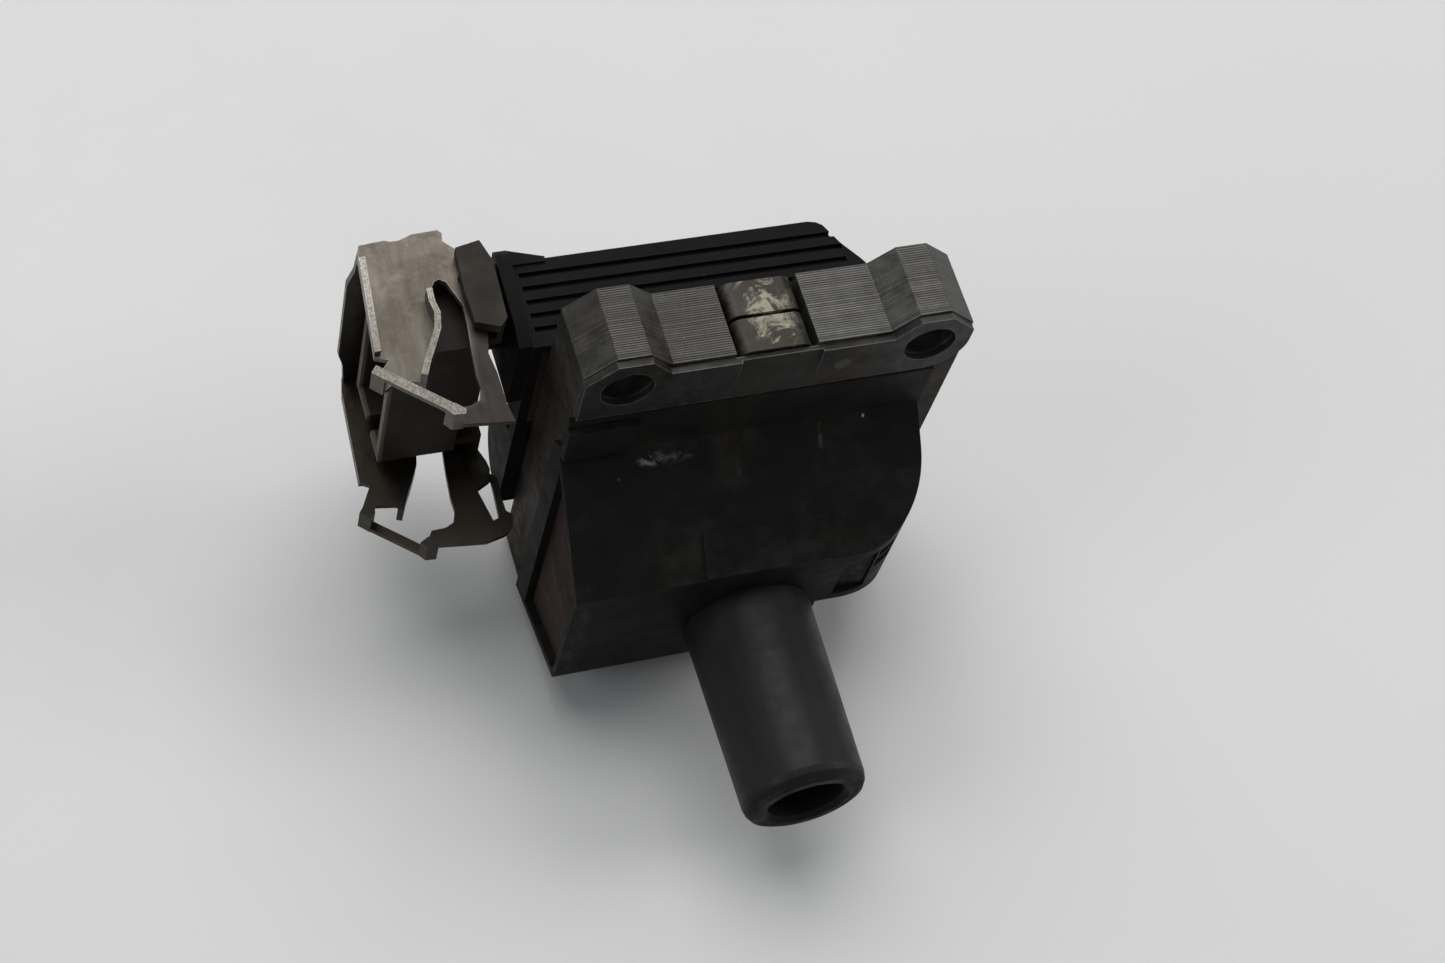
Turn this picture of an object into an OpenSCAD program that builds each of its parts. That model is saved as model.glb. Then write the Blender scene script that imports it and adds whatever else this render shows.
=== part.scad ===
// Potted ignition coil with a laminated shell core, high-voltage tower,
// three-way plug socket and a hinged spring-steel locking clip.
// Frame: X to the right (socket at -X), tower points along -Y, Z up through
// the yoke. Origin: midway between the two mounting holes, on the front face.

/* [Core] */
// Distance between the two mounting holes
hole_spacing = 42; // [41:0.5:44]
// Diameter of each mounting hole (clearance for an M6 stud)
hole_d = 7.2; // [6.6:0.1:7.6]
// Depth of the lamination stack along the bolts
stack_t = 11; // [10.6:0.1:11.4]
// Thickness of the pressed front plate
plate_t = 1; // [0.8:0.1:1.2]
// Height of the ears above the hole line
ear_h = 6; // [5.6:0.1:6.6]
// Height of the yoke top above the hole line
yoke_h = 3; // [2.6:0.1:3.4]
// Depth of the yoke below the hole line
yoke_d = 6; // [5.6:0.1:6.4]
// Width of the outer legs
leg_w = 6.5; // [6:0.1:6.8]
// Lower end of the legs below the hole line
leg_end = 58; // [57:0.5:60]

/* [Coil body] */
// Depth of the potting cup in front of the mounting face
cup_d = 15.2; // [14.5:0.1:16]
// Height of the flat front below the hole line, upper edge
flat_top = 28.2; // [27.5:0.1:29]
// Wall thickness of the mouldings
wall = 1.0; // [0.9:0.1:1.4]
// Number of cooling grooves on the rear cover
groove_n = 5; // [3:1:5]

/* [Tower] */
// Outer diameter of the tower at its root
tower_d = 18.4; // [17.6:0.2:19]
// Bore of the tower
tower_bore = 10.9; // [10:0.1:11.4]
// Length of the tower in front of the cup
tower_l = 29; // [26:0.5:32]
// Height of the tower axis below the hole line
tower_z = 42; // [41.5:0.1:42.2]

/* [Socket and clip] */
// Thickness of the clip sheet
sheet_t = 0.8; // [0.6:0.05:0.9]
// Radius of the pivot studs of the clip
pivot_r = 1.2; // [1:0.05:1.3]
// Radial play of the pivot
pivot_play = 0.05; // [0.03:0.01:0.08]

/* [Hidden] */
$fn = 48;
e = 0.05;

hx = hole_spacing / 2;
cw = hx + 6;            // half width of the core
li = cw - leg_w;        // inner face of the legs
y0 = plate_t;           // front of the laminations
y1 = plate_t + stack_t; // back of the laminations
ym = (y0 + y1) / 2;
cx = -0.8;              // joint line of the two core halves
zb0 = -leg_end;         // underside of the core
zb1 = -leg_end + 8;     // top of the bottom yoke
lz = -30;               // height of the centre limb
lh = 5;                 // half height of the centre limb
zy = -yoke_d;
tz = -tower_z;
wind_r = 13.4;          // radius of the wound package
px = -36.2;             // clip pivot
py = 22.5;
zt = -4;                // outer face of the upper clip plate
zl = -37;               // outer face of the lower clip plate

// extrude a [x,z] outline between two y values
module along_y(a, b) { translate([0, b, 0]) rotate([90, 0, 0]) linear_extrude(height = b - a) children(); }
// extrude a [y,z] outline between two x values
module along_x(a, b) { translate([a, 0, 0]) rotate([90, 0, 90]) linear_extrude(height = b - a) children(); }
// extrude a plan outline between two z values
module along_z(a, b) { translate([0, 0, a]) linear_extrude(height = b - a) children(); }
module box(x0, x1, ya, yb, z0, z1) { translate([x0, ya, z0]) cube([x1 - x0, yb - ya, z1 - z0]); }
module rodx(r, a, b, y, z) { translate([a, y, z]) rotate([0, 90, 0]) cylinder(r = r, h = b - a); }
module rody(r, a, b, x, z) { translate([x, b, z]) rotate([90, 0, 0]) cylinder(r = r, h = b - a); }

rivets = [[9, -1.7], [17.5, zb0 + 4], [-17.5, zb0 + 4]];

// ---------------------------------------------------------------- core
module lamination_half(s) {
  difference() {
    along_y(y0 + 0.02, y1) translate([cx, 0]) {
      if (s > 0) polygon([[cw - cx, zb0 + 0.6], [cw - cx, 2.4], [hx + 1.9 - cx, ear_h], [hx - 2.5 - cx, ear_h],
          [hx - 5.9 - cx, yoke_h], [5.7, yoke_h], [5.7, zy], [li - cx, zy], [li - cx, lz + lh], [0.2, lz + lh],
          [0.2, lz - lh], [li - cx, lz - lh], [li - cx, zb1], [0.2, zb1], [0.2, zb0], [cw - cx - 0.6, zb0]]);
      else polygon([[-cw - cx, zb0 + 0.6], [-cw - cx, 2.4], [-hx - 1.9 - cx, ear_h], [-hx + 2.5 - cx, ear_h],
          [-hx + 5.9 - cx, yoke_h], [-5.6, yoke_h], [-5.6, zy], [-li - cx, zy], [-li - cx, lz + lh], [-0.2, lz + lh],
          [-0.2, lz - lh], [-li - cx, lz - lh], [-li - cx, zb1], [-0.2, zb1], [-0.2, zb0], [-cw - cx + 0.6, zb0]]);
    }
    rody(hole_d / 2, -1, y1 + 1, s * hx, 0);
    for (p = rivets) if (sign(p[0]) == s) rody(1.02, -1, y1 + 1, p[0], p[1]);
  }
}
module core_left() { color([0.47, 0.46, 0.44]) lamination_half(-1); }
module core_right() { color([0.52, 0.51, 0.49]) lamination_half(1); }

module core_plate() {
  color([0.42, 0.41, 0.39]) difference() {
    along_y(0, plate_t) polygon([[-cw, zy], [-cw, 2.1], [-hx - 2.1, ear_h - 0.4], [-hx + 2.6, ear_h - 0.4],
      [-hx + 5.6, yoke_h - 0.6], [hx - 5.6, yoke_h - 0.6], [hx - 2.6, ear_h - 0.4], [hx + 2.1, ear_h - 0.4], [cw - 0.2, 2.1], [cw - 0.2, zy]]);
    // rounded lower corner at the plain end
    difference() { box(hx, 40, -1, plate_t + 1, zy - 1, -0.4); rody(cw - 0.2 - hx, -2, plate_t + 2, hx, -0.2); }
    for (s = [-1, 1]) rody(hole_d / 2, -1, plate_t + 1, s * hx, 0);
    for (p = rivets) if (p[1] > -20) rody(1.02, -1, plate_t + 1, p[0], p[1]);
    // dished middle in front of the bridge pieces
    along_x(cx - 5, cx + 6.2) polygon([[-1, zy + 2.4], [0, zy + 2.4], [0.4, 1.4], [0.4, 10], [-1, 10]]);
  }
}
module bridge(a, b) {
  along_y(a, b) translate([cx, 0]) difference() {
    union() {
      translate([-5, zy + 0.6]) square([10, yoke_h - zy - 2.1]);
      translate([-3.5, yoke_h - 3]) square([7, 3.1]);
      for (s = [-1, 1]) translate([s * 3.5, yoke_h - 1.4]) circle(r = 1.5);
    }
    translate([-3.9, zy - 1]) square([7.8, yoke_h - zy - 0.6]);
  }
}
module core_bridge_front() { color([0.72, 0.68, 0.55]) bridge(y0 + 0.1, ym - 0.35); }
module core_bridge_rear() { color([0.70, 0.66, 0.54]) bridge(ym + 0.2, y1 - 0.15); }
module core_rivets() {
  color([0.45, 0.33, 0.25]) for (p = rivets) {
    front = p[1] > -20 ? 0.03 : y0 + 0.05;
    rody(1.0, front, y1 + 0.1, p[0], p[1]);
    rody(1.6, y1 + 0.03, y1 + 0.5, p[0], p[1]);
  }
}

// ---------------------------------------------------------------- mouldings
module cup_profile(g) {
  polygon([[0.9, -6.3 - g], [0.2 + g, -7 - g], [0.2 + g, -15.6 - 0.6 * g], [-cup_d + g, -flat_top - 0.6 * g],
    [-cup_d + g, -50.4 + g], [-cup_d + 0.5 + g, -51.6 + g], [0.9, -56.4 + g]]);
}
module cup_plan(g) {
  union() {
    translate([-28 - g, -20]) square([40.6, 22]);
    translate([-28 - g, -4.7]) square([51.6, 7]);
    translate([13.1, -4.7]) circle(r = 10.5 - g);
  }
}
module cup_cavity() {
  intersection() {
    along_x(-30, 23.6 - wall) cup_profile(wall);
    along_z(-60, 0) intersection() { cup_plan(wall); translate([-40, -40]) square([80, 40.9 - 1.6]); }
    union() { box(-40, 8, -30, 5, -60, 0); box(-40, 40, -30, 5, -39.6, 0); }
  }
}
module chamber(r, a, b) { rodx(r, a, b, ym, lz); }
module rear_cavity(g = 0) {
  along_z(-27 + 1.4 + g, -6.5 - 1.4 - g) polygon([[-28 + g, 11], [19.8 - g, 11], [19.2 - g, 13.6], [17.2 - g, 17.6], [14.8 - g, 21.4], [13.6 - g, 24.3 - g], [-28 + g, 24.3 - g]]);
}

// round pocket behind the left leg that takes the end of the winding chamber
module end_pocket(g = 0) {
  intersection() { rodx(7.2 - g, -28 + g, -16, y1 + 0.3, lz - 8.9); box(-40, 0, y1 + 1.4 + g, 40, -60, -20); }
}

module case_front() {
  color([0.10, 0.10, 0.105]) difference() {
    union() {
      // cup in front of the core
      intersection() {
        along_x(-27.7, 23.6) cup_profile(0);
        along_z(-60, 0) cup_plan(0);
        union() {
          box(-40, 9.5, -30, 5, -60, 0);
          along_x(9.4, 40) polygon([[5, 0], [-30, 0], [-30, -41], [-cup_d, -41], [0.9, -50.5], [5, -50.5]]);
        }
      }
      // raised pad in the upper left corner
      box(-27.7, -17.9, -0.75, 0.9, -14.9, -8.3);
      // rim that laps round the left leg
      along_x(-27.7, -cw - e) polygon([[0.5, -13.5], [3.2, -16], [3.2, -57.1], [0.5, -56.2]]);
      // raised seat above the tower
      along_x(-9.2, 9.0) polygon([[-cup_d, -flat_top - 2], [-cup_d, -flat_top + 0.45], [-cup_d + 4.8, -flat_top + 4.35], [-cup_d + 5.3, -flat_top + 4.0], [-cup_d + 5.7, -flat_top + 2.2], [-cup_d + 5.2, -flat_top - 1]]);
      // block inside the core window
      box(-li + 0.3, li - 0.3, 0.8, y1 + e, zb1 + 0.3, zy - 0.3);
    }
    cup_cavity();
    chamber(wind_r + 0.5, -19.2, 18.9);
    // passages for the centre limb
    box(-li + 0.1, li - 0.1, y0 - 0.15, y1 + 1, lz - lh - 0.15, lz + lh + 0.15);
    // recessed pockets right of the tower
    box(11.6, 16.6, -30, -cup_d + 0.9, -39.6, -29.6);
    box(17.0, 30, -30, -12.2, -31.6, -29.6);
    box(17.0, 30, -30, -12.2, -34.6, -32.2);
    // passage of the tower root
    rody(5.2, -20, -8, -0.65, tz);
  }
}

module rear_plan() {
  polygon([[-29.4, y1 + 0.1], [22.2, y1 + 0.1], [21.3, 14.6], [19.1, 18.7], [16.9, 21.8], [16.0, 23.6], [15.3, 25.0], [14.5, 25.6], [13.3, 25.9], [-29.4, 25.7]]);
}
module case_rear() {
  color([0.11, 0.11, 0.115]) difference() {
    union() {
      intersection() {
        along_z(-27, -6.5) rear_plan();
        box(-40, 40, y1 + 0.1, 40, -30, 0);
      }
      // rounded back of the winding chamber
      intersection() {
        chamber(wind_r + 0.5 + 1.4, -li + 0.4, li - 0.4);
        box(-40, 40, y1 + 0.1, 40, -60, -8);
      }
      // round boss behind the left leg, with a web up to the cover
      intersection() { rodx(8.6, -29.4, -16, y1 + 0.3, lz - 8.9); box(-40, 40, y1 + 0.1, 40, -60, -8); }
      box(-29.4, -27.4, y1 + 0.1, y1 + 1.9, lz - 9, -26.9);
      // end flange facing the socket, with a flared corner
      along_x(-31.2, -29.3) polygon([[y1 + 0.6, -20.5], [y1 + 0.6, -6.9], [15, -6.0], [26.4, -5.4], [27.5, -6.2], [27.5, -20.5]]);
      along_z(-9.5, -6.1) polygon([[-29.4, 25], [-29.4, 27.4], [-24.5, 25.75], [-24.5, 25]]);
    }
    for (i = [0:groove_n - 1]) {
      gy = 23.4 - 2.15 * i;
      along_x(-28.6, 17) polygon([[gy - 0.5, -6], [gy + 0.5, -6], [gy + 0.32, -7.2], [gy - 0.32, -7.2]]);
    }
    // grooves carried down the back face
    for (i = [0:2]) along_x(-28.6, 6) polygon([[26.2, -11.2 - 5 * i], [26.2, -12.2 - 5 * i], [25.1, -11.9 - 5 * i], [25.1, -11.5 - 5 * i]]);
    rear_cavity();
    end_pocket();
    chamber(wind_r + 0.5, -19.2, 18.9);
    for (z = [-9.5, -13, -16.5]) box(-40, -27, 23.1 - 0.02, 23.9 + 0.02, z - 0.82, z + 0.82);
  }
}

module potting_resin() {
  color([0.36, 0.30, 0.25]) difference() {
    union() {
      intersection() {
        union() {
          difference() { cup_cavity(); box(-40, -26.4, -40, 40, -70, 0); }
          chamber(wind_r + 0.45, -19.15, 18.85);
        }
        box(-40, 40, -40, y1 + 0.05, -70, 0);
      }
      intersection() {
        union() {
          chamber(wind_r + 0.45, -19.15, 18.85);
          rear_cavity(0.05);
          end_pocket(0.05);
        }
        box(-40, 40, y1 + 0.1, 40, -70, 0);
      }
    }
    chamber(wind_r + 0.05, -18.8, 18.6);
    box(-30, 30, y0 - 0.15, y1 + 0.15, lz - lh - 0.15, lz + lh + 0.15);
    // leads and high-voltage parts sit in their own seats
    for (z = [-9.5, -13, -16.5]) box(-40, -22.95, 23.05, 23.95, z - 0.85, z + 0.85);
    rody(1.0, -14, 0, -0.65, tz + 3);
    rody(5.35, -30, -12.2, -0.65, tz);
  }
}

// ---------------------------------------------------------------- windings
module primary_bobbin() {
  color([0.75, 0.72, 0.62]) difference() {
    union() {
      chamber(8.5, -18.7, 18.5);
      for (x = [-18.7, 17.5]) chamber(10.5, x, x + 1);
    }
    box(-30, 30, y0 - 0.1, y1 + 0.1, lz - lh - 0.1, lz + lh + 0.1);
  }
}
module primary_winding() {
  color([0.62, 0.30, 0.16]) difference() { chamber(10.2, -17.6, 17.4); chamber(8.55, -20, 20); }
}
module secondary_bobbin() {
  color([0.80, 0.78, 0.70]) difference() {
    union() {
      chamber(11.5, -18.6, 18.4);
      for (i = [0:6]) chamber(wind_r, -18.6 + i * 6, -17.6 + i * 6);
    }
    chamber(10.55, -20, 20);
  }
}
module secondary_winding() {
  color([0.55, 0.24, 0.12]) for (i = [0:5]) difference() {
    chamber(wind_r - 0.25, -17.55 + i * 6, -12.65 + i * 6);
    chamber(11.55, -20, 20);
  }
}

// ---------------------------------------------------------------- tower
module hv_tower() {
  r = tower_d / 2;
  color([0.20, 0.20, 0.205]) translate([-0.65, -cup_d + 0.02, tz]) rotate([90, 0, 0]) rotate_extrude()
    polygon([[tower_bore / 2, 7], [tower_bore / 2, tower_l - 0.7], [tower_bore / 2 + 0.7, tower_l], [r - 1.9, tower_l],
      [r - 1.1, tower_l - 0.35], [r - 0.6, tower_l - 1.1], [r - 0.4, tower_l - 2], [r, 0.8], [r, 0.04],
      [5.15, 0.04], [5.15, -1.25], [4.0, -1.25], [4.0, 7]]);
}
module hv_terminal() {
  color([0.72, 0.58, 0.28]) translate([-0.65, -cup_d, tz]) rotate([90, 0, 0]) difference() {
    union() { translate([0, 0, -1.9]) cylinder(r = 3.97, h = 4.6); translate([0, 0, 2.6]) cylinder(r = 2.6, h = 2.6); }
    translate([0, 0, 1.0]) cylinder(r = 1.9, h = 6);
  }
}
module contact_spring() {
  color([0.70, 0.71, 0.72]) translate([-0.65, -cup_d, tz]) rotate([90, 0, 0]) {
    translate([0, 0, 1.02]) cylinder(r = 0.5, h = 5.6);
    for (i = [0:3]) translate([0, 0, 1.5 + 1.5 * i]) rotate_extrude() translate([1.1, 0]) circle(r = 0.35);
    for (i = [0:3]) translate([0, -0.35, 1.5 + 1.5 * i - 0.25]) cube([1.1, 0.7, 0.5]);
  }
}
module hv_lead() {
  color([0.60, 0.45, 0.30]) difference() {
    union() {
      rody(0.9, -13.25, -5.2, -0.65, tz + 3);
    }
    chamber(wind_r + 0.06, -20, 20);
  }
}

// ---------------------------------------------------------------- socket
module lead(i, g) {
  zi = [-15.5, -20.4, -25.3][i];
  zr = [-16.5, -13, -9.5][i];
  yr = [20.0, 18.5, 17.0][i];
  xr = -37.9;
  box(-43.4 - g, xr + 0.4 + g, 19.6 - g, 20.4 + g, zi - 0.75 - g, zi + 0.75 + g);
  box(xr - 0.4 - g, xr + 0.4 + g, yr - 0.4 - g, 20.4 + g, zi - 0.75 - g, zi + 0.75 + g);
  box(xr - 0.4 - g, xr + 0.4 + g, yr - 0.4 - g, yr + 0.4 + g, min(zi, zr) - 0.75 - g, max(zi, zr) + 0.75 + g);
  box(xr - 0.4 - g, xr + 0.4 + g, yr - 0.4 - g, 23.9 + g, zr - 0.75 - g, zr + 0.75 + g);
  box(xr - 0.4 - g, -23 + g, 23.1 - g, 23.9 + g, zr - 0.75 - g, zr + 0.75 + g);
}
module pin_lead_a() { color([0.78, 0.76, 0.70]) lead(0, 0); }
module pin_lead_b() { color([0.78, 0.76, 0.70]) lead(1, 0); }
module pin_lead_c() { color([0.78, 0.76, 0.70]) lead(2, 0); }

module ear(z0, z1) {
  along_z(z0, z1) polygon([[-37.2, 14.6], [-37.4, 20], [-37.0, 26.3], [-33.6, 27.0], [-32.6, 23.6], [-32.9, 14.6], [-34.0, 13.4]]);
}
module ear_low(z0, z1) {
  along_z(z0, z1) polygon([[-37.3, 12.0], [-37.4, 20], [-37.0, 26.3], [-33.6, 27.0], [-32.6, 23.6], [-32.8, 16.0], [-31.9, 13.4], [-31.7, 12.2], [-32.1, 10.6], [-34.2, 9.5], [-36.2, 10.0]]);
}
module connector_shroud() {
  color([0.12, 0.12, 0.125]) difference() {
    union() {
      box(-47.7, -36.9, 14.0, 26.9, -33.8, -7.2);
      // side block between the socket and the pivots
      box(-37.0, -34.8, 14.0, 19.8, -24, -7.2);
      // neck to the rear cover
      box(-37.5, -31.25, 20.6, 26.4, -19.4, -7.4);
      // outer cheeks that hold the pivots, above and below the clip plates
      ear(zt + 0.3, zt + 1.9);
      ear_low(zl - 1.9, zl - 0.3);
      for (z = [[-7.6, zt + 1.0], [zl - 1.0, -33.2]]) {
        box(-33.7, -32.9, 14.8, 21.2, z[0], z[1]);
        translate([px, py, z[0]]) cylinder(r = pivot_r, h = z[1] - z[0]);
      }
      // root of the cheeks
      box(-37.0, -32.9, 14.8, 21.6, -8.6, -7.2);
      box(-37.0, -32.9, 14.8, 21.6, -33.8, -32.0);
      box(-36.95, -33.6, 19.4, 24.6, -10, -7.2);
      box(-36.95, -32.9, 19.6, 24.6, -33.8, -19.3);
    }
    // plug cavity, open at the -X end, with a bevelled mouth
    box(-60, -38.9, 15.2, 25.7, -32.6, -8.4);
    // keyways for the pegs of the plug
    for (z = [[-9, -6], [-35, -32]]) box(-60, -44.6, 18.4, 20.8, z[0], z[1]);
    for (i = [0:2]) lead(i, 0.02);
  }
}

// ---------------------------------------------------------------- clip
// plate outline with the open cam slot; the foot at the left carries the strap
module clip_outline(s) {
  // left edge and foot sit a little further in on the lower plate
  f = s > 0 ? 0 : 0.85;
  polygon([[-49.0, 29.8], [-45.5, 30.1], [-44.2, 29.6], [-41.7, 30.5], [-38.2, 30.7], [-37.7, 30.1], [-37.9, 28.8], [-36.4, 27.2],
    [-34.9, 24.6], [-34.4, 22.5], [-34.6, 19], [-35.3, 14.6], [-36.15, 10.8], [-35.75, 7.8], [-35.65, 2.95], [-35.2, 0.3], [-41.8, 1.0], [-43.3, 1.7],
    [-42.3, 3.4], [-40.3, 3.5], [-39.0, 4.1], [-38.4, 5.9], [-38.5, 7.9], [-38.2, 12.1], [-37.8, 15.8], [-37.7, 18.7],
    [-39.0, 22.4], [-39.8, 23.0], [-40.5, 22.7], [-41.3, 21.4], [-41.6, 20.2], [-41.7, 18.3], [-41.4, 16.4], [-41.9, 14.0],
    [-43.1, 11.6], [-44.3, 9.4], [-45.2, 7.6], [-46.2, 8.2], [-48.9, 8.6], [-50.4 + f, 7.5 - 0.4 * f], [-51.7 + f, 8.9 - 0.5 * f], [-49.0, 11.9],
    [-50.75 + 0.55 * f, 12.6], [-49.5, 27.6]]);
}
module clip_lip() {
  polygon([[-45.2, 7.4], [-44.3, 9.4], [-43.1, 11.6], [-41.9, 14.0], [-41.4, 16.4], [-41.7, 18.3], [-41.6, 20.2], [-42.4, 20.2],
    [-42.5, 18.3], [-42.2, 16.5], [-42.7, 14.3], [-43.9, 11.9], [-45.1, 9.7], [-46.0, 7.7]]);
}
// s = 1: outward is up, s = -1: outward is down; zo is the outer face
module clip_side(zo, s) {
  a = s > 0 ? zo - sheet_t : zo;
  f = s > 0 ? 0 : 0.85;
  difference() {
    along_z(a, a + sheet_t) clip_outline(s);
    translate([px, py, a - 1]) cylinder(r = pivot_r + pivot_play, h = 3);
  }
  // low lip along the left edge
  along_z(s > 0 ? a : zo - 0.9, s > 0 ? zo + 0.9 : a + sheet_t) polygon([[-49.5, 27.4], [-48.65, 27.4], [-49.85 + 0.45 * f, 12.9], [-50.7 + 0.5 * f, 12.9]]);
  // standing lip on the inner side of the cam slot
  along_z(s > 0 ? a : zo - 2.6, s > 0 ? zo + 2.6 : a + sheet_t) clip_lip();
  // strap that bridges the mouth of the slot, on two steps
  so = s > 0 ? zo + 2.1 : zo - 2.1 - sheet_t;
  along_z(so, so + sheet_t) polygon([[-52.1 + f, 8.6 - 0.9 * f], [-51.3 + f, 9.6 - 0.9 * f], [-42.7, 2.3], [-43.5, 1.3]]);
  lo = s > 0 ? zo - sheet_t : zo - 2.1 - sheet_t;
  along_z(lo, lo + 2.1 + 2 * sheet_t) polygon([[-52.2 + f, 8.7 - 0.9 * f], [-51.4 + f, 9.7 - 0.9 * f], [-50.0 + f, 8.5 - 0.9 * f], [-50.8 + f, 7.4 - 0.9 * f]]);
  along_z(lo, lo + 2.1 + 2 * sheet_t) polygon([[-44.2, 1.9], [-43.4, 0.9], [-41.9, 0.8], [-41.7, 1.5], [-42.9, 2.6]]);
}
module locking_clip() {
  color([0.60, 0.57, 0.52]) union() {
    clip_side(zt, 1);
    clip_side(zl, -1);
    // rear web that joins the two plates
    along_y(29.0, 29.8) polygon([[-48.9, zt], [-49.3, -9], [-50.1, -11.8], [-50.1, -29.2], [-49.3, -32], [-48.9, zl], [-39.4, zl], [-39.4, zt]]);
    // hooked finger at the plain corner of the lower plate
    along_z(zl, zl + sheet_t) difference() {
      polygon([[-37.0, 0.5], [-35.2, 0.3], [-32.3, 1.0], [-31.1, 2.1], [-30.6, 3.9], [-31.4, 4.6], [-31.5, 6.7], [-31.3, 9.9], [-31.9, 10.6], [-35.6, 11.6], [-37.2, 11.6]]);
      polygon([[-34.6, 8.7], [-32.3, 9.8], [-32.4, 7.4], [-32.6, 3.7], [-33.5, 3.4]]);
    }
  }
}

case_front();
case_rear();
potting_resin();
hv_tower();
hv_terminal();
contact_spring();
hv_lead();
core_plate();
core_left();
core_right();
core_bridge_front();
core_bridge_rear();
core_rivets();
primary_bobbin();
primary_winding();
secondary_bobbin();
secondary_winding();
connector_shroud();
pin_lead_a();
pin_lead_b();
pin_lead_c();
locking_clip();
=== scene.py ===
import math
import bpy
from mathutils import Matrix, Vector


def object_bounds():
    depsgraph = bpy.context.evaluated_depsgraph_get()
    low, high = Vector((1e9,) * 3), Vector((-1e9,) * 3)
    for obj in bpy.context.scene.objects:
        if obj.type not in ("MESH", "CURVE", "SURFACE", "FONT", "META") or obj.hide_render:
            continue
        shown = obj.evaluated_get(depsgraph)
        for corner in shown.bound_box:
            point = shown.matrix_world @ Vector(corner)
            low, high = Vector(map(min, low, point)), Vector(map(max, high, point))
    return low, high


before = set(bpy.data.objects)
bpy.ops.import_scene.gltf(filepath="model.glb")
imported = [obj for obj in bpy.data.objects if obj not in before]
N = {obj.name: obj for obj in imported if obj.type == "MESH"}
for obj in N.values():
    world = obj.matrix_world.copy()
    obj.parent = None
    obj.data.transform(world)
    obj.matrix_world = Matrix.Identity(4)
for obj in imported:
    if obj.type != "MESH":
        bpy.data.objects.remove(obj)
start_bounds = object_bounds()
MM = 0.001


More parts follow.
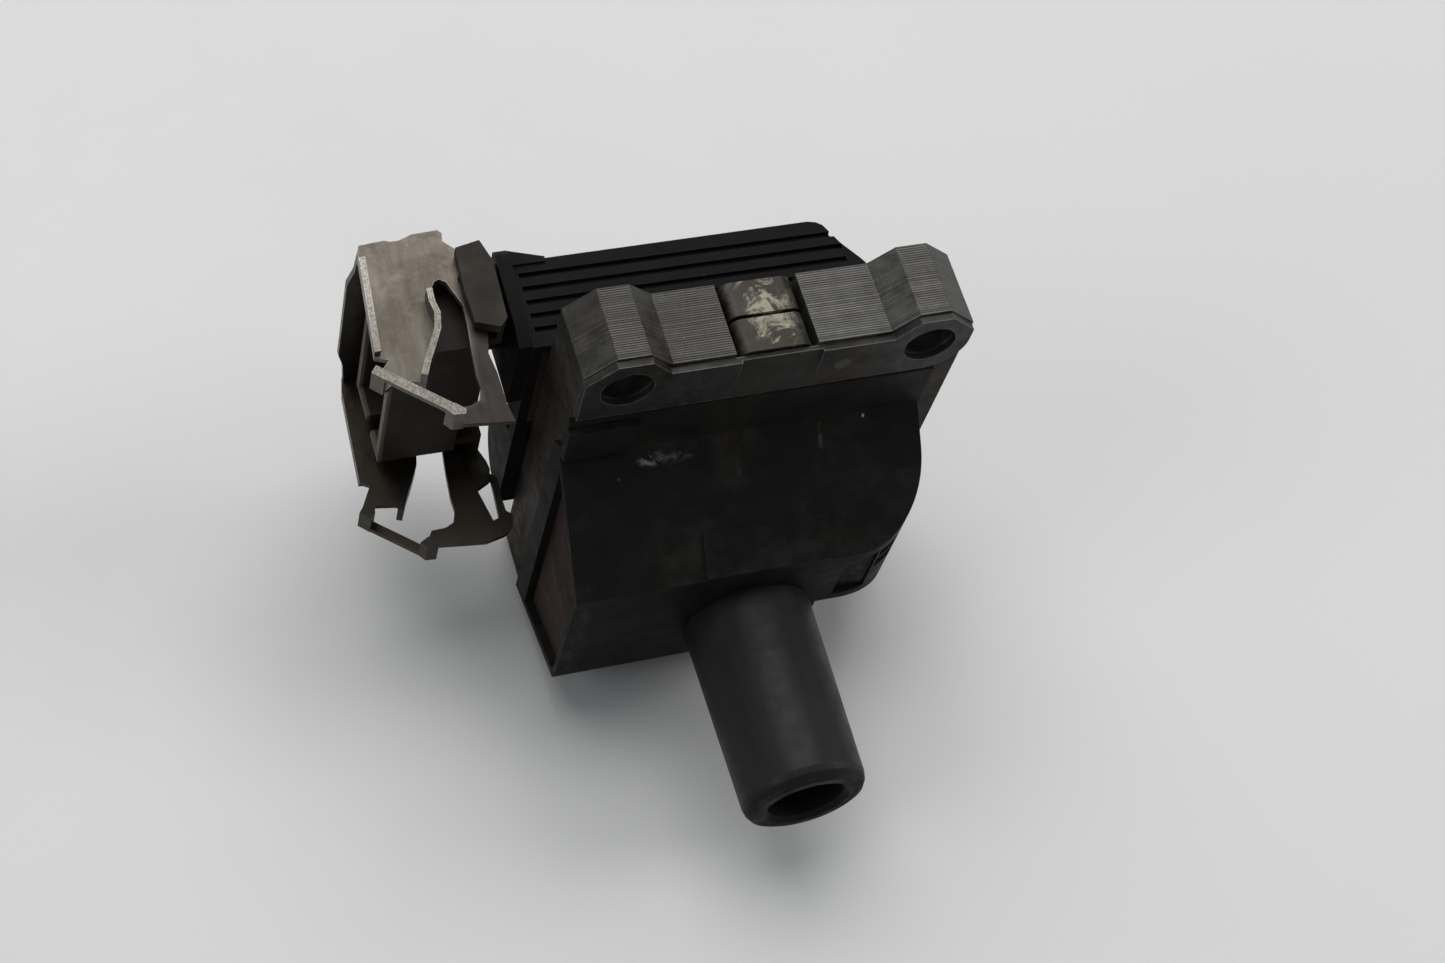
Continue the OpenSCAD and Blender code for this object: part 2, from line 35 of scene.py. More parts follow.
# ------------------------------------------------------------------ material kit
class Mat:
    """A small helper round one node tree with a Principled shader."""

    def __init__(self, name, metallic=0.0, specular=0.5, coat=0.0, coat_rough=0.3):
        self.m = bpy.data.materials.new(name)
        self.m.use_nodes = True
        self.t = self.m.node_tree
        self.t.nodes.clear()
        self.out = self.n("ShaderNodeOutputMaterial")
        self.p = self.n("ShaderNodeBsdfPrincipled")
        self.l(self.p.outputs[0], self.out.inputs[0])
        self.p.inputs["Metallic"].default_value = metallic
        self.p.inputs["Specular IOR Level"].default_value = specular
        self.p.inputs["Coat Weight"].default_value = coat
        self.p.inputs["Coat Roughness"].default_value = coat_rough
        self.co = self.n("ShaderNodeTexCoord").outputs["Object"]
        self.geo = self.n("ShaderNodeNewGeometry")

    def n(self, kind):
        return self.t.nodes.new(kind)

    def l(self, a, b):
        self.t.links.new(a, b)

    def put(self, socket, v):
        if isinstance(v, (int, float)):
            socket.default_value = v
        elif isinstance(v, (tuple, list)):
            socket.default_value = tuple(v) + ((1.0,) if len(v) == 3 and len(socket.default_value) == 4 else ())
        else:
            self.l(v, socket)

    def math(self, op, a, b=None, c=None, clamp=False):
        n = self.n("ShaderNodeMath")
        n.operation = op
        n.use_clamp = clamp
        for s, v in zip(n.inputs, (a, b, c)):
            if v is not None:
                self.put(s, v)
        return n.outputs[0]

    def xyz(self, v=None):
        n = self.n("ShaderNodeSeparateXYZ")
        self.l(v if v is not None else self.co, n.inputs[0])
        return n.outputs

    def scaled(self, sx, sy, sz, v=None):
        n = self.n("ShaderNodeVectorMath")
        n.operation = "MULTIPLY"
        self.l(v if v is not None else self.co, n.inputs[0])
        n.inputs[1].default_value = (sx, sy, sz)
        return n.outputs[0]

    def noise(self, scale, detail=4.0, rough=0.55, dist=0.0, vec=None):
        n = self.n("ShaderNodeTexNoise")
        n.inputs["Scale"].default_value = scale
        n.inputs["Detail"].default_value = detail
        n.inputs["Roughness"].default_value = rough
        n.inputs["Distortion"].default_value = dist
        self.l(vec if vec is not None else self.co, n.inputs["Vector"])
        return n.outputs["Fac"]

    def voronoi(self, scale, feature="F1", vec=None, rand=1.0):
        n = self.n("ShaderNodeTexVoronoi")
        n.feature = feature
        n.inputs["Scale"].default_value = scale
        n.inputs["Randomness"].default_value = rand
        self.l(vec if vec is not None else self.co, n.inputs["Vector"])
        return n.outputs["Distance"]

    def ramp(self, v, lo, hi, a=0.0, b=1.0, smooth=True):
        n = self.n("ShaderNodeMapRange")
        n.interpolation_type = "SMOOTHSTEP" if smooth else "LINEAR"
        n.clamp = True
        self.put(n.inputs["Value"], v)
        n.inputs["From Min"].default_value = lo
        n.inputs["From Max"].default_value = hi
        n.inputs["To Min"].default_value = a
        n.inputs["To Max"].default_value = b
        return n.outputs[0]

    def mix(self, fac, a, b, mode="MIX"):
        n = self.n("ShaderNodeMix")
        n.data_type = "RGBA"
        n.blend_type = mode
        self.put(n.inputs[0], fac)
        self.put(n.inputs[6], a)
        self.put(n.inputs[7], b)
        return n.outputs[2]

    def blob(self, centre, radii, soft=0.35):
        """1 inside an ellipsoid given in millimetres, fading to 0 outside it."""
        s = self.n("ShaderNodeVectorMath")
        s.operation = "SUBTRACT"
        self.l(self.co, s.inputs[0])
        s.inputs[1].default_value = tuple(c * MM for c in centre)
        m = self.n("ShaderNodeVectorMath")
        m.operation = "MULTIPLY"
        self.l(s.outputs[0], m.inputs[0])
        m.inputs[1].default_value = tuple(1 / (r * MM) for r in radii)
        d = self.n("ShaderNodeVectorMath")
        d.operation = "LENGTH"
        self.l(m.outputs[0], d.inputs[0])
        return self.ramp(d.outputs["Value"], 1.0 + soft, 1.0 - soft)

    def bump(self, height, strength, distance, chain=None):
        n = self.n("ShaderNodeBump")
        n.inputs["Strength"].default_value = strength
        n.inputs["Distance"].default_value = distance * MM
        self.put(n.inputs["Height"], height)
        if chain is not None:
            self.l(chain, n.inputs["Normal"])
        return n.outputs[0]

    def edge(self, radius, lo=0.02, hi=0.25):
        """Worn edges: how far a rounded normal turns from the true one."""
        b = self.n("ShaderNodeBevel")
        b.samples = 6
        b.inputs["Radius"].default_value = radius * MM
        d = self.n("ShaderNodeVectorMath")
        d.operation = "DOT_PRODUCT"
        self.l(b.outputs[0], d.inputs[0])
        self.l(self.geo.outputs["Normal"], d.inputs[1])
        return self.ramp(self.math("SUBTRACT", 1.0, d.outputs["Value"]), lo, hi)

    def done(self, color, rough, normal=None):
        self.put(self.p.inputs["Base Color"], color)
        self.put(self.p.inputs["Roughness"], rough)
        if normal is not None:
            self.l(normal, self.p.inputs["Normal"])
        return self.m


def up_facing(k, lo=0.35, hi=0.95):
    return k.ramp(k.xyz(k.geo.outputs["Normal"])[2], lo, hi)


def moulding(name, base, dust, dust_amount=0.35, rough=0.5, grain=1.0, brown=0.25, marks=(), spec=0.07, rim=None):
    """Dusty black moulding: fine grain, patchy dust, a few pale scuffs and specks, listed marks that can include a
    painted highlight, and an optional rim lightened by dust plus painted highlight.
    """
    k = Mat(name, specular=spec)
    big = k.noise(55, 5, 0.6, 0.4)
    mid = k.noise(260, 6, 0.65)
    fine = k.noise(1500, 4, 0.6)
    streak = k.noise(160, 4, 0.6, 0.3, k.scaled(0.35, 1.0, 2.4))
    col = k.mix(k.ramp(mid, 0.3, 0.75, 0.0, 0.55), tuple(c * 0.82 for c in base), tuple(c * 1.18 for c in base))
    # brownish oil film in broad patches
    film = k.math("MULTIPLY", k.ramp(big, 0.46, 0.68), brown)
    col = k.mix(film, col, (base[0] * 1.9 + 0.003, base[1] * 1.6 + 0.002, base[2] * 1.15 + 0.0005))
    # dust that gathers on upward faces
    du = k.math("MULTIPLY", k.ramp(k.math("MULTIPLY", k.ramp(big, 0.30, 0.72), k.ramp(mid, 0.28, 0.7)), 0.12, 0.75), dust_amount)
    du = k.math("MULTIPLY", du, k.math("ADD", 0.45, k.math("MULTIPLY", up_facing(k, 0.0, 0.9), 0.55)))
    col = k.mix(du, col, dust)
    # small pale specks
    sp = k.ramp(k.voronoi(420), 0.115, 0.055)
    sp = k.math("MULTIPLY", sp, k.ramp(k.noise(90, 3, 0.6), 0.56, 0.66))
    col = k.mix(k.math("MULTIPLY", sp, 0.4), col, (0.10, 0.097, 0.09))
    # listed marks: pale scuffs and stains, and on the front case one painted highlight dot
    for centre, radii, amount, tone in marks:
        scuff_and_glint_grain = k.ramp(k.noise(700, 6, 0.75, 0.6), 0.42, 0.66)
        f = k.math("MULTIPLY", k.math("MULTIPLY", k.blob(centre, radii, 0.6), scuff_and_glint_grain), amount)
        col = k.mix(f, col, tone)
    if rim:
        # lighter rim beyond a given X: dust plus painted highlight at the socket mouth
        far = k.math("MULTIPLY", k.ramp(k.xyz()[0], rim[0], rim[0] - 0.0004), k.ramp(mid, 0.25, 0.75, 0.72, 1.0))
        col = k.mix(far, col, rim[1])
    # pale worn edges
    ed = k.math("MULTIPLY", k.edge(0.30), k.ramp(k.noise(320, 5, 0.7), 0.38, 0.62, 0.05, 0.38))
    col = k.mix(ed, col, tuple(min(1.0, c * 2.6 + 0.02) for c in base))
    ro = k.ramp(k.math("ADD", k.math("MULTIPLY", mid, 0.6), k.math("MULTIPLY", streak, 0.4)), 0.3, 0.7, rough - 0.09, rough + 0.13)
    nb = k.bump(fine, 0.22 * grain, 0.05)
    nb = k.bump(mid, 0.18 * grain, 0.12, nb)
    nb = k.bump(k.ramp(streak, 0.62, 0.70), 0.10 * grain, 0.04, nb)
    return k.done(col, ro, nb)


def resin(name):
    k = Mat(name, specular=0.05)
    big = k.noise(70, 5, 0.6, 0.3)
    mid = k.noise(330, 6, 0.65)
    col = k.mix(k.ramp(big, 0.34, 0.66), (0.0165, 0.0112, 0.0090), (0.032, 0.0220, 0.0180))
    col = k.mix(k.math("MULTIPLY", k.ramp(mid, 0.5, 0.72), 0.45), col, (0.042, 0.034, 0.028))
    low = k.ramp(k.xyz()[2], -0.034, -0.052)
    col = k.mix(k.math("MULTIPLY", low, 0.45), col, (0.046, 0.036, 0.031))
    blot = k.math("MULTIPLY", k.ramp(k.noise(150, 6, 0.75, 0.5), 0.54, 0.68), 0.45)
    col = k.mix(blot, col, (0.052, 0.027, 0.018))
    dark = k.math("MULTIPLY", k.ramp(k.noise(120, 5, 0.7, 0.3), 0.44, 0.34), 0.6)
    col = k.mix(dark, col, (0.0085, 0.0062, 0.0052))
    ro = k.ramp(mid, 0.3, 0.7, 0.42, 0.66)
    nb = k.bump(big, 0.30, 0.35)
    nb = k.bump(mid, 0.25, 0.10, nb)
    nb = k.bump(k.ramp(k.voronoi(300), 0.16, 0.10), 0.15, 0.10, nb)
    return k.done(col, ro, nb)


def laminations(name, painted_light_scale=1.0, rust=0.25):
    # overall steel tone times a per-stack brightness level that holds painted light and shade
    painted_light_scale = painted_light_scale * 0.74
    """Sheet stack: the long faces along the bolts show every sheet's edge."""
    k = Mat(name, metallic=0.78, specular=0.12)
    x, y, z = k.xyz()
    nrm = k.xyz(k.geo.outputs["Normal"])
    side = k.ramp(k.math("ABSOLUTE", nrm[1]), 0.85, 0.55)          # 1 on faces that cut the sheets
    wob = k.math("MULTIPLY", k.math("SUBTRACT", k.noise(120, 3, 0.5), 0.5), 0.00010)
    yy = k.math("ADD", y, wob)
    sheet = k.math("MULTIPLY", yy, 1 / (0.355 * MM))
    frac = k.math("FRACT", sheet)
    tri = k.math("ABSOLUTE", k.math("SUBTRACT", frac, 0.5))        # 0 in the middle, .5 at a joint
    joint = k.ramp(tri, 0.27, 0.47)
    idx = k.math("FLOOR", sheet)
    wn = k.n("ShaderNodeTexWhiteNoise")
    wn.noise_dimensions = "1D"
    k.l(idx, wn.inputs["W"])
    tone = k.ramp(wn.outputs["Value"], 0.0, 1.0, 0.80, 1.16, False)
    big = k.noise(60, 5, 0.6, 0.3)
    mid = k.noise(420, 6, 0.7, 0.2)
    fine = k.noise(1800, 3, 0.6)
    base = k.mix(k.ramp(mid, 0.32, 0.7), (0.082 * painted_light_scale, 0.0805 * painted_light_scale, 0.077 * painted_light_scale), (0.136 * painted_light_scale, 0.134 * painted_light_scale, 0.127 * painted_light_scale))
    m = k.n("ShaderNodeVectorMath")
    m.operation = "SCALE"
    k.l(base, m.inputs[0])
    k.l(k.math("ADD", k.math("MULTIPLY", k.math("SUBTRACT", tone, 1.0), side), 1.0), m.inputs["Scale"])
    col = k.mix(k.math("MULTIPLY", k.math("MULTIPLY", joint, side), 0.72), m.outputs[0], (0.022, 0.021, 0.019))
    # brown stain and rust: strongest on the outer legs and low down
    rmask = k.math("MULTIPLY", k.ramp(big, 0.42, 0.64), k.ramp(k.noise(500, 5, 0.7), 0.35, 0.65))
    down = k.math("ADD", k.math("MULTIPLY", k.ramp(z, -0.002, -0.010), 0.75), 0.25)
    rmask = k.math("MULTIPLY", k.math("MULTIPLY", rmask, down), rust * 2.0, clamp=True)
    col = k.mix(rmask, col, (0.062, 0.040, 0.026))
    dull = k.math("MULTIPLY", k.ramp(z, 0.000, -0.007), 0.93)
    dirt = k.mix(k.ramp(k.noise(240, 6, 0.75, 0.4), 0.36, 0.64), (0.0085, 0.0060, 0.0041), (0.0245, 0.0172, 0.0118))
    col = k.mix(dull, col, dirt)
    stain = k.math("MULTIPLY", k.math("MULTIPLY", dull, k.ramp(k.noise(95, 6, 0.7, 0.5), 0.52, 0.66)), min(0.6, rust * 1.3))
    col = k.mix(stain, col, (0.046, 0.027, 0.016))
    # pale dust specks on the outer leg
    sp = k.math("MULTIPLY", k.ramp(k.voronoi(900), 0.16, 0.06), k.ramp(k.noise(140, 4, 0.7), 0.60, 0.70))
    col = k.mix(k.math("MULTIPLY", sp, 0.7), col, (0.42, 0.40, 0.36))
    ed = k.math("MULTIPLY", k.edge(0.22), k.ramp(mid, 0.35, 0.6, 0.1, 0.5))
    col = k.mix(ed, col, (0.40 * painted_light_scale, 0.39 * painted_light_scale, 0.38 * painted_light_scale))
    ro = k.math("ADD", k.ramp(mid, 0.3, 0.7, 0.36, 0.56), k.math("MULTIPLY", rmask, 0.25))
    nb = k.bump(k.math("MULTIPLY", joint, side), 0.55, -0.07)
    nb = k.bump(fine, 0.2, 0.03, nb)
    nb = k.bump(mid, 0.15, 0.05, nb)
    mt = k.math("SUBTRACT", 0.80, k.math("MULTIPLY", k.math("ADD", k.math("MULTIPLY", rmask, 0.6), dull), 0.82), clamp=True)
    k.put(k.p.inputs["Metallic"], mt)
    return k.done(col, ro, nb)


def dark_plate(name):
    k = Mat(name, metallic=0.5, specular=0.15)
    big = k.noise(75, 5, 0.6, 0.5)
    mid = k.noise(420, 6, 0.7)
    col = k.mix(k.ramp(big, 0.35, 0.65), (0.013, 0.0128, 0.0120), (0.036, 0.0355, 0.034))
    col = k.mix(k.math("MULTIPLY", k.ramp(mid, 0.5, 0.75), 0.55), col, (0.064, 0.062, 0.058))
    col = k.mix(k.math("MULTIPLY", k.ramp(k.noise(150, 5, 0.7), 0.54, 0.68), 0.45), col, (0.045, 0.033, 0.024))
    for c, r, a in (((9.0, 0.0, -1.7), (3.6, 2, 2.6), 0.5), ((-0.8, 0, -1.0), (6.5, 2, 3.0), 0.45)):
        col = k.mix(k.math("MULTIPLY", k.blob(c, r, 0.5), a), col, (0.026, 0.024, 0.021))
    col = k.mix(k.math("MULTIPLY", k.blob((10.5, 0.0, -3.6), (4.2, 2, 1.9), 0.6), 0.5), col, (0.050, 0.034, 0.023))
    ed = k.math("MULTIPLY", k.edge(0.28), k.ramp(mid, 0.3, 0.6, 0.3, 0.85))
    col = k.mix(ed, col, (0.20, 0.197, 0.19))
    ro = k.ramp(mid, 0.3, 0.7, 0.34, 0.6)
    nb = k.bump(mid, 0.3, 0.06)
    nb = k.bump(big, 0.25, 0.2, nb)
    nb = k.bump(k.noise(1600, 3, 0.6), 0.18, 0.03, nb)
    return k.done(col, ro, nb)


def bridge_steel(name):
    """Bent bridge strip with cream corrosion on the part that stands proud."""
    k = Mat(name, metallic=0.45)
    x, y, z = k.xyz()
    mid = k.noise(460, 7, 0.75, 0.5)
    big = k.noise(210, 6, 0.7, 1.2)
    col = k.mix(k.ramp(mid, 0.35, 0.68), (0.014, 0.0118, 0.0083), (0.034, 0.0297, 0.0215))
    top = k.ramp(z, 0.0021, 0.0029)
    cream = k.math("MULTIPLY", k.math("MULTIPLY", k.ramp(big, 0.50, 0.60), k.ramp(mid, 0.36, 0.56)), top)
    inner = k.math("MULTIPLY", k.ramp(k.math("ABSOLUTE", k.math("ADD", x, 0.0004)), 0.0038, 0.0020), 1.0)
    col = k.mix(k.math("MULTIPLY", k.math("MULTIPLY", cream, inner), 0.85), col, (0.29, 0.262, 0.195))
    col = k.mix(k.math("MULTIPLY", k.ramp(z, -0.001, -0.004), 0.7), col, (0.045, 0.042, 0.038))
    ro = k.ramp(mid, 0.3, 0.7, 0.36, 0.7)
    k.put(k.p.inputs["Metallic"], k.math("SUBTRACT", 0.55, k.math("MULTIPLY", cream, 0.5), clamp=True))
    nb = k.bump(mid, 0.4, 0.08)
    nb = k.bump(cream, 0.35, 0.06, nb)
    return k.done(col, ro, nb)


def clip_steel(name):
    """Spring strip: warm grey tarnish, bright cut edges that are partly scraped metal and partly painted highlight,
    and painted shade away from the rear web.
    """
    k = Mat(name, metallic=0.88, specular=0.2)
    x, y, z = k.xyz()
    nz = k.math("ABSOLUTE", k.xyz(k.geo.outputs["Normal"])[2])
    big = k.noise(85, 5, 0.6, 0.6)
    mid = k.noise(480, 6, 0.7)
    brush = k.noise(900, 5, 0.7, 0.0, k.scaled(1.0, 0.12, 1.0))
    col = k.mix(k.ramp(big, 0.32, 0.68), (0.064, 0.055, 0.045), (0.122, 0.109, 0.093))
    col = k.mix(k.math("MULTIPLY", k.ramp(mid, 0.46, 0.72), 0.5), col, (0.175, 0.160, 0.141))
    col = k.mix(k.math("MULTIPLY", k.ramp(k.noise(170, 6, 0.7, 0.8), 0.55, 0.70), 0.55), col, (0.046, 0.032, 0.022))
    # cut edges of the plates and the ends of the lips are painted bright: scraped metal plus a painted highlight
    plate = k.math("MULTIPLY", k.ramp(nz, 0.5, 0.2), k.math("MAXIMUM", k.ramp(z, -0.0051, -0.0048), k.ramp(z, -0.0359, -0.0363)))
    lip = k.math("MULTIPLY", k.ramp(nz, 0.6, 0.9), k.math("MAXIMUM", k.ramp(z, -0.0036, -0.0032), k.ramp(z, -0.0384, -0.0392)))
    bright = k.math("MULTIPLY", k.math("MAXIMUM", plate, lip), k.ramp(mid, 0.30, 0.60, 0.55, 0.95))
    burr_and_glint = k.ramp(k.noise(5200, 4, 0.7, 0.0, k.scaled(1.0, 0.5, 1.0)), 0.38, 0.64)
    col = k.mix(bright, col, k.mix(burr_and_glint, (0.120, 0.111, 0.098), (0.31, 0.295, 0.270)))
    ed = k.math("MULTIPLY", k.edge(0.20), k.ramp(mid, 0.35, 0.6, 0.2, 0.75))
    col = k.mix(ed, col, (0.42, 0.40, 0.375))
    # painted shade: the clip plates grow darker with distance from the rear web
    painted_shade_from_web = k.ramp(y, 0.0275, 0.0100, 0.0, 0.52)
    col = k.mix(painted_shade_from_web, col, (0.034, 0.028, 0.022))
    # the leg and foot beyond the slot are darker and browner
    foot = k.math("MAXIMUM", k.blob((-35.9, 6.0, -4.0), (2.7, 9.5, 1.6), 0.30), k.blob((-38.0, 1.5, -4.0), (4.5, 2.6, 1.6), 0.30))
    col = k.mix(k.math("MULTIPLY", foot, 0.93), col, (0.0115, 0.0084, 0.0063))
    k.put(k.p.inputs["Metallic"], k.math("SUBTRACT", 0.88, k.math("MULTIPLY", foot, 0.60)))
    # darker and browner towards the bottom
    col = k.mix(k.math("MULTIPLY", k.ramp(z, -0.008, -0.034), 0.86), col, (0.036, 0.0300, 0.0240))
    ro = k.ramp(k.math("ADD", k.math("MULTIPLY", mid, 0.5), k.math("MULTIPLY", brush, 0.5)), 0.32, 0.68, 0.30, 0.52)
    nb = k.bump(brush, 0.14, 0.03)
    nb = k.bump(mid, 0.14, 0.05, nb)
    nb = k.bump(big, 0.22, 0.35, nb)
    return k.done(col, ro, nb)


def metal(name, a, b, rough=0.35, metallic=0.95, streak=(1, 1, 1)):
    k = Mat(name, metallic=metallic)
    mid = k.noise(500, 6, 0.7, 0.2, k.scaled(*streak))
    col = k.mix(k.ramp(mid, 0.34, 0.68), a, b)
    ed = k.math("MULTIPLY", k.edge(0.12), 0.5)
    col = k.mix(ed, col, tuple(min(1.0, c * 1.4 + 0.05) for c in b))
    nb = k.bump(mid, 0.2, 0.03)
    nb = k.bump(k.noise(2200, 3, 0.6), 0.12, 0.02, nb)
    return k.done(col, k.ramp(mid, 0.3, 0.7, rough - 0.06, rough + 0.14), nb)


def wound(name):
    """Enamelled wire laid in turns round the core limb (turns follow X)."""
    k = Mat(name, metallic=0.7, coat=0.3, coat_rough=0.25)
    x, y, z = k.xyz()
    f = k.math("FRACT", k.math("MULTIPLY", x, 1 / (0.30 * MM)))
    turn = k.math("ABSOLUTE", k.math("SUBTRACT", f, 0.5))
    col = k.mix(k.ramp(turn, 0.25, 0.48), (0.42, 0.15, 0.06), (0.10, 0.035, 0.015))
    col = k.mix(k.math("MULTIPLY", k.ramp(k.noise(200, 5, 0.6), 0.45, 0.7), 0.4), col, (0.55, 0.24, 0.10))
    nb = k.bump(turn, 0.6, -0.08)
    return k.done(col, k.ramp(k.noise(300, 4, 0.6), 0.3, 0.7, 0.26, 0.42), nb)


def nylon(name):
    k = Mat(name, specular=0.5)
    mid = k.noise(300, 5, 0.6)
    col = k.mix(k.ramp(mid, 0.35, 0.7), (0.46, 0.41, 0.31), (0.60, 0.55, 0.44))
    nb = k.bump(k.noise(1400, 4, 0.6), 0.2, 0.03)
    return k.done(col, k.ramp(mid, 0.3, 0.7, 0.42, 0.6), nb)


def tower(name):
    """Smooth satin moulding: faint drawn lines along its axis, painted shade in a ring at the mouth."""
    k = Mat(name, specular=0.14)
    x, y, z = k.xyz()
    big = k.noise(60, 5, 0.55, 0.4)
    lines = k.noise(420, 5, 0.65, 0.0, k.scaled(1.0, 0.10, 1.0))
    mid = k.noise(380, 6, 0.65)
    col = k.mix(k.ramp(big, 0.32, 0.7), (0.0092, 0.0093, 0.0095), (0.0142, 0.0143, 0.0145))
    col = k.mix(k.math("MULTIPLY", k.ramp(lines, 0.5, 0.72), 0.30), col, (0.026, 0.026, 0.0263))
    root = k.math("MULTIPLY", k.ramp(y, -0.0205, -0.0150), 0.55)
    col = k.mix(root, col, (0.0135, 0.0118, 0.0095))
    # painted shade: a darker ring at the tower mouth, also made rougher
    mouth_shade_ring = k.math("MULTIPLY", k.ramp(y, -0.0418, -0.0438), k.ramp(mid, 0.36, 0.6, 0.45, 0.9))
    col = k.mix(mouth_shade_ring, col, (0.0068, 0.0066, 0.0063))
    sp = k.math("MULTIPLY", k.ramp(k.voronoi(520), 0.10, 0.05), k.ramp(k.noise(120, 3, 0.6), 0.60, 0.68))
    col = k.mix(k.math("MULTIPLY", sp, 0.45), col, (0.09, 0.088, 0.085))
    nb = k.bump(lines, 0.10, 0.05)
    nb = k.bump(mid, 0.08, 0.05, nb)
    nb = k.bump(k.noise(1600, 3, 0.6), 0.10, 0.02, nb)
    return k.done(col, k.math("ADD", k.ramp(mid, 0.3, 0.72, 0.36, 0.52), k.math("MULTIPLY", mouth_shade_ring, 0.28)), nb)


# ------------------------------------------------------------------ materials on the CAD nodes
M_front = moulding("moulding_front", (0.0088, 0.0089, 0.0090), (0.024, 0.0235, 0.0225), 0.40, 0.50, 1.0, 0.40, (
    ((-15.4, -1.0, -16.9), (1.5, 2.0, 0.55), 0.75, (0.26, 0.25, 0.235)),
    ((-12.6, -1.3, -17.0), (1.9, 2.0, 0.45), 0.45, (0.15, 0.145, 0.135)),
    ((-10.0, -1.3, -16.9), (1.0, 2.0, 0.35), 0.40, (0.13, 0.125, 0.12)),
    ((-13.0, -0.6, -15.9), (4.2, 2.0, 1.5), 0.30, (0.045, 0.044, 0.042)),
    ((-4.6, -0.6, -16.1), (1.5, 2.0, 0.25), 0.45, (0.085, 0.083, 0.08)),
    ((8.9, -1.6, -17.2), (0.32, 2.0, 1.5), 0.60, (0.085, 0.083, 0.08)),
    ((-3.2, -3.5, -18.9), (0.3, 2.0, 1.6), 0.45, (0.06, 0.059, 0.057)),
    # painted highlight: a small bright dot standing in for a specular glint on the case
    ((15.4, -0.6, -16.0), (0.17, 1.0, 0.17), 1.2, (0.30, 0.30, 0.28)),
    ((13.5, -15.0, -34.0), (3.6, 3.0, 4.0), 0.75, (0.050, 0.044, 0.037)),
    ((-26.5, -15.0, -40.0), (1.6, 3.0, 12.0), 0.55, (0.050, 0.044, 0.038)),
    ((-17.0, -8.0, -54.0), (9.0, 6.0, 4.0), 0.50, (0.026, 0.022, 0.017)),
    ((-2.0, -14.0, -46.0), (10.0, 4.0, 7.0), 0.40, (0.022, 0.018, 0.013)),
))
M_rear = moulding("moulding_rear", (0.0063, 0.0064, 0.0066), (0.0165, 0.0161, 0.0155), 0.34, 0.50, 1.0, 0.12, (), 0.04)
# the rim argument lightens the socket mouth with dust plus painted highlight
M_socket = moulding("moulding_socket", (0.0215, 0.0194, 0.0172), (0.045, 0.038, 0.031), 0.55, 0.50, 1.0, 0.60, (), 0.07, (-0.0470, (0.112, 0.098, 0.083)))
ASSIGN = {
    "case_front": M_front,
    "case_rear": M_rear,
    "connector_shroud": M_socket,
    "potting_resin": resin("cast_resin"),
    "hv_tower": tower("tower_satin"),
    "hv_terminal": metal("turned_brass", (0.42, 0.30, 0.12), (0.62, 0.46, 0.20), 0.32),
    "contact_spring": metal("drawn_spring_wire", (0.36, 0.36, 0.37), (0.55, 0.55, 0.56), 0.28),
    "hv_lead": metal("drawn_copper", (0.45, 0.20, 0.10), (0.62, 0.32, 0.18), 0.34),
    "core_plate": dark_plate("pressed_plate"),
    # one steel in both stacks: the left level paints it darker and the right level paints it brighter, as painted
    # shade and painted light
    "core_left": laminations("sheet_stack_left", 0.82, 0.42),
    "core_right": laminations("sheet_stack_right", 1.16, 0.20),
    "core_bridge_front": bridge_steel("bridge_strip_front"),
    "core_bridge_rear": bridge_steel("bridge_strip_rear"),
    "core_rivets": metal("browned_rivets", (0.034, 0.028, 0.023), (0.082, 0.068, 0.056), 0.50, 0.6),
    "primary_bobbin": nylon("bobbin_primary"),
    "secondary_bobbin": nylon("bobbin_secondary"),
    "primary_winding": wound("wire_primary"),
    "secondary_winding": wound("wire_secondary"),
    "pin_lead_a": metal("tinned_strip_a", (0.40, 0.38, 0.33), (0.60, 0.57, 0.50), 0.30, 0.95, (0.2, 1, 1)),
    "pin_lead_b": metal("tinned_strip_b", (0.38, 0.36, 0.31), (0.58, 0.55, 0.48), 0.31, 0.95, (0.2, 1, 1)),
    "pin_lead_c": metal("tinned_strip_c", (0.41, 0.39, 0.33), (0.61, 0.57, 0.50), 0.30, 0.95, (0.2, 1, 1)),
    "locking_clip": clip_steel("spring_strip"),
}
for name, mat in ASSIGN.items():
    o = N[name]
    o.data.materials.clear()
    o.data.materials.append(mat)

# soft moulded and sheared edges
BEVELS = {
    "case_front": (0.45, 3), "case_rear": (0.35, 3), "connector_shroud": (0.22, 2), "core_plate": (0.16, 2),
    "core_left": (0.10, 2), "core_right": (0.10, 2), "locking_clip": (0.14, 2), "potting_resin": (0.2, 2),
    "core_bridge_front": (0.25, 3), "core_bridge_rear": (0.25, 3), "pin_lead_a": (0.12, 2), "pin_lead_b": (0.12, 2), "pin_lead_c": (0.12, 2),
    "hv_terminal": (0.15, 2),
}
for name, (width, segments) in BEVELS.items():
    o = N[name]
    for a in ("custom_normal",):
        if a in o.data.attributes:
            o.data.attributes.remove(o.data.attributes[a])
    for poly in o.data.polygons:
        poly.use_smooth = True
    w = o.modifiers.new("weld", "WELD")
    w.merge_threshold = 2e-6
    b = o.modifiers.new("edge_round", "BEVEL")
    b.width = width * MM
    b.segments = segments
    b.limit_method = "ANGLE"
    b.angle_limit = math.radians(32)
    b.use_clamp_overlap = True
    b.harden_normals = True
    b.miter_outer = "MITER_ARC"

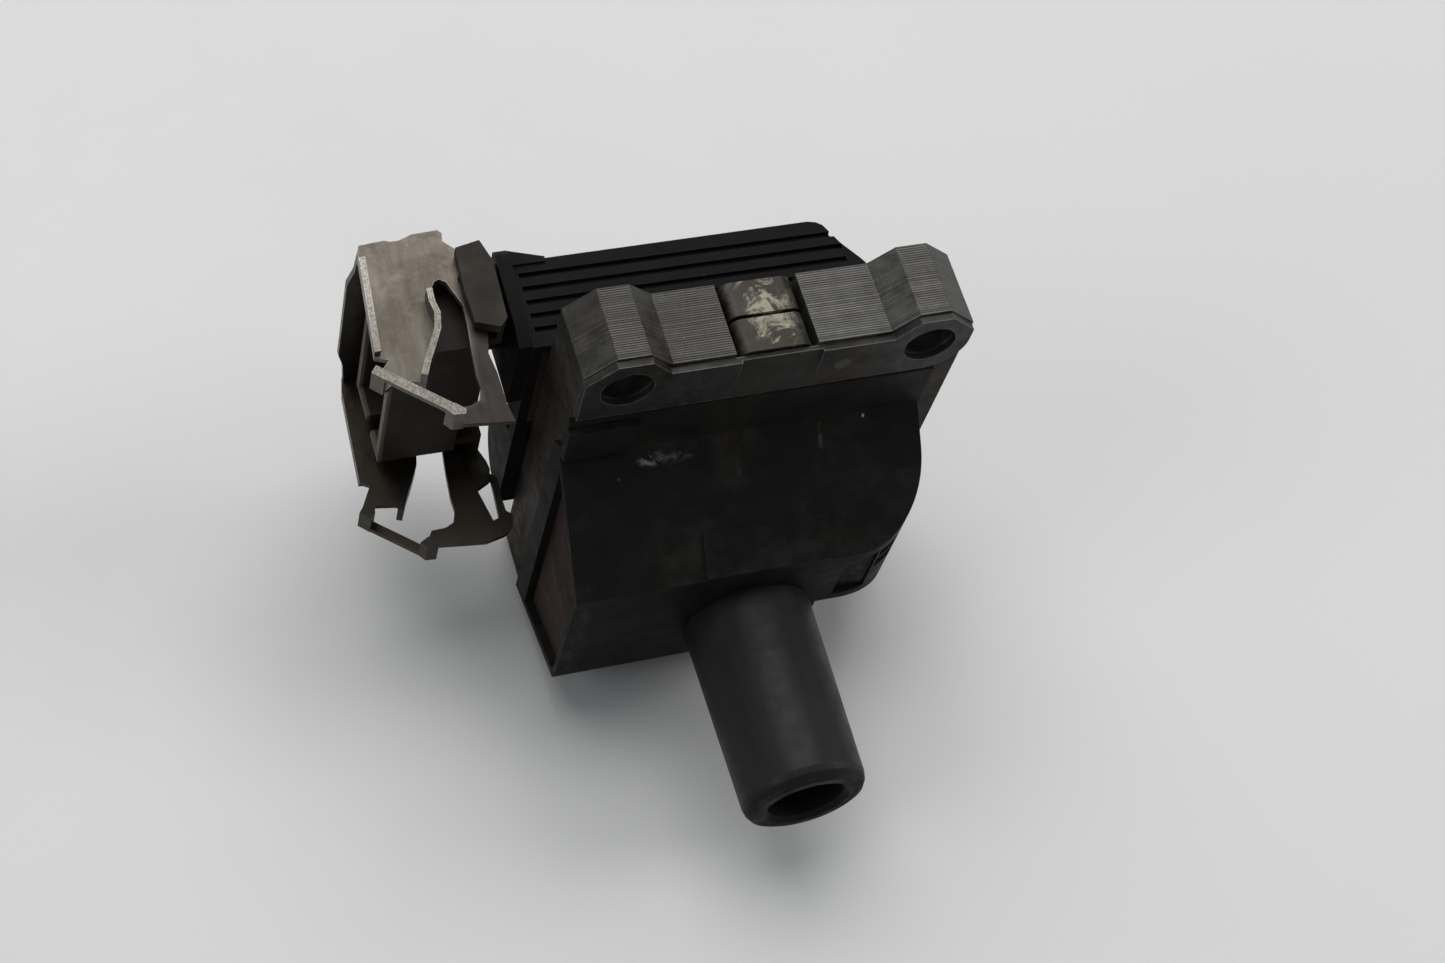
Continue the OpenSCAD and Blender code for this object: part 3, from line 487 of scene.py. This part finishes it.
# ------------------------------------------------------------------ floor, light, camera
k = Mat("pale_floor", specular=0.25)
base = k.mix(k.ramp(k.noise(3.0, 3, 0.5), 0.3, 0.7), (0.552, 0.557, 0.555), (0.582, 0.587, 0.585))
floor_mat = k.done(base, k.ramp(k.noise(40, 4, 0.6), 0.3, 0.7, 0.55, 0.68), k.bump(k.noise(900, 4, 0.6), 0.05, 0.05))
lo, hi = start_bounds
bpy.ops.mesh.primitive_plane_add(size=8.0, location=(0, 0, lo.z - 0.00005))
floor = bpy.context.object
floor.name = "floor"
floor.data.materials.append(floor_mat)

world = bpy.data.worlds.new("studio")
bpy.context.scene.world = world
world.use_nodes = True
bg = world.node_tree.nodes["Background"]
bg.inputs[0].default_value = (0.93, 0.95, 1.0, 1.0)
bg.inputs[1].default_value = 0.18


def area(name, loc, target, size, power, color=(1, 1, 1), size_y=None):
    d = bpy.data.lights.new(name, "AREA")
    d.shape = "RECTANGLE"
    d.size = size
    d.size_y = size_y or size
    d.energy = power
    d.color = color
    o = bpy.data.objects.new(name, d)
    bpy.context.scene.collection.objects.link(o)
    o.location = loc
    o.rotation_mode = "QUATERNION"
    o.rotation_quaternion = (Vector(target) - Vector(loc)).to_track_quat("-Z", "Y")
    return o


area("key_top", (-0.05, 0.54, 0.88), (0, 0, -0.03), 1.10, 13.0, (1.0, 0.995, 0.98))
area("fill_left", (-0.95, -0.10, 0.55), (-0.01, 0, -0.03), 0.50, 2.5, (0.97, 0.98, 1.0))
area("fill_right", (0.85, -0.10, 0.50), (0, 0, -0.03), 0.45, 3.6, (1.0, 0.99, 0.98))

cam_data = bpy.data.cameras.new("camera")
cam = bpy.data.objects.new("camera", cam_data)
bpy.context.scene.collection.objects.link(cam)
cam_data.sensor_width = 36.0
cam_data.lens = 64.22
cam_data.clip_start = 0.01
cam_data.clip_end = 50.0
# rows: right, up, back of the photograph's viewpoint
right = Vector((0.940226, -0.281954, 0.190988))
up = Vector((0.155226, 0.853998, 0.496580))
back = Vector((-0.303116, -0.437251, 0.846718))
pos = Vector((-0.110966, -0.156844, 0.274438))
cam.matrix_world = Matrix((
    (right.x, up.x, back.x, pos.x),
    (right.y, up.y, back.y, pos.y),
    (right.z, up.z, back.z, pos.z),
    (0, 0, 0, 1)))
bpy.context.scene.camera = cam
bpy.context.scene.view_settings.view_transform = "Standard"
bpy.context.scene.view_settings.look = "None"
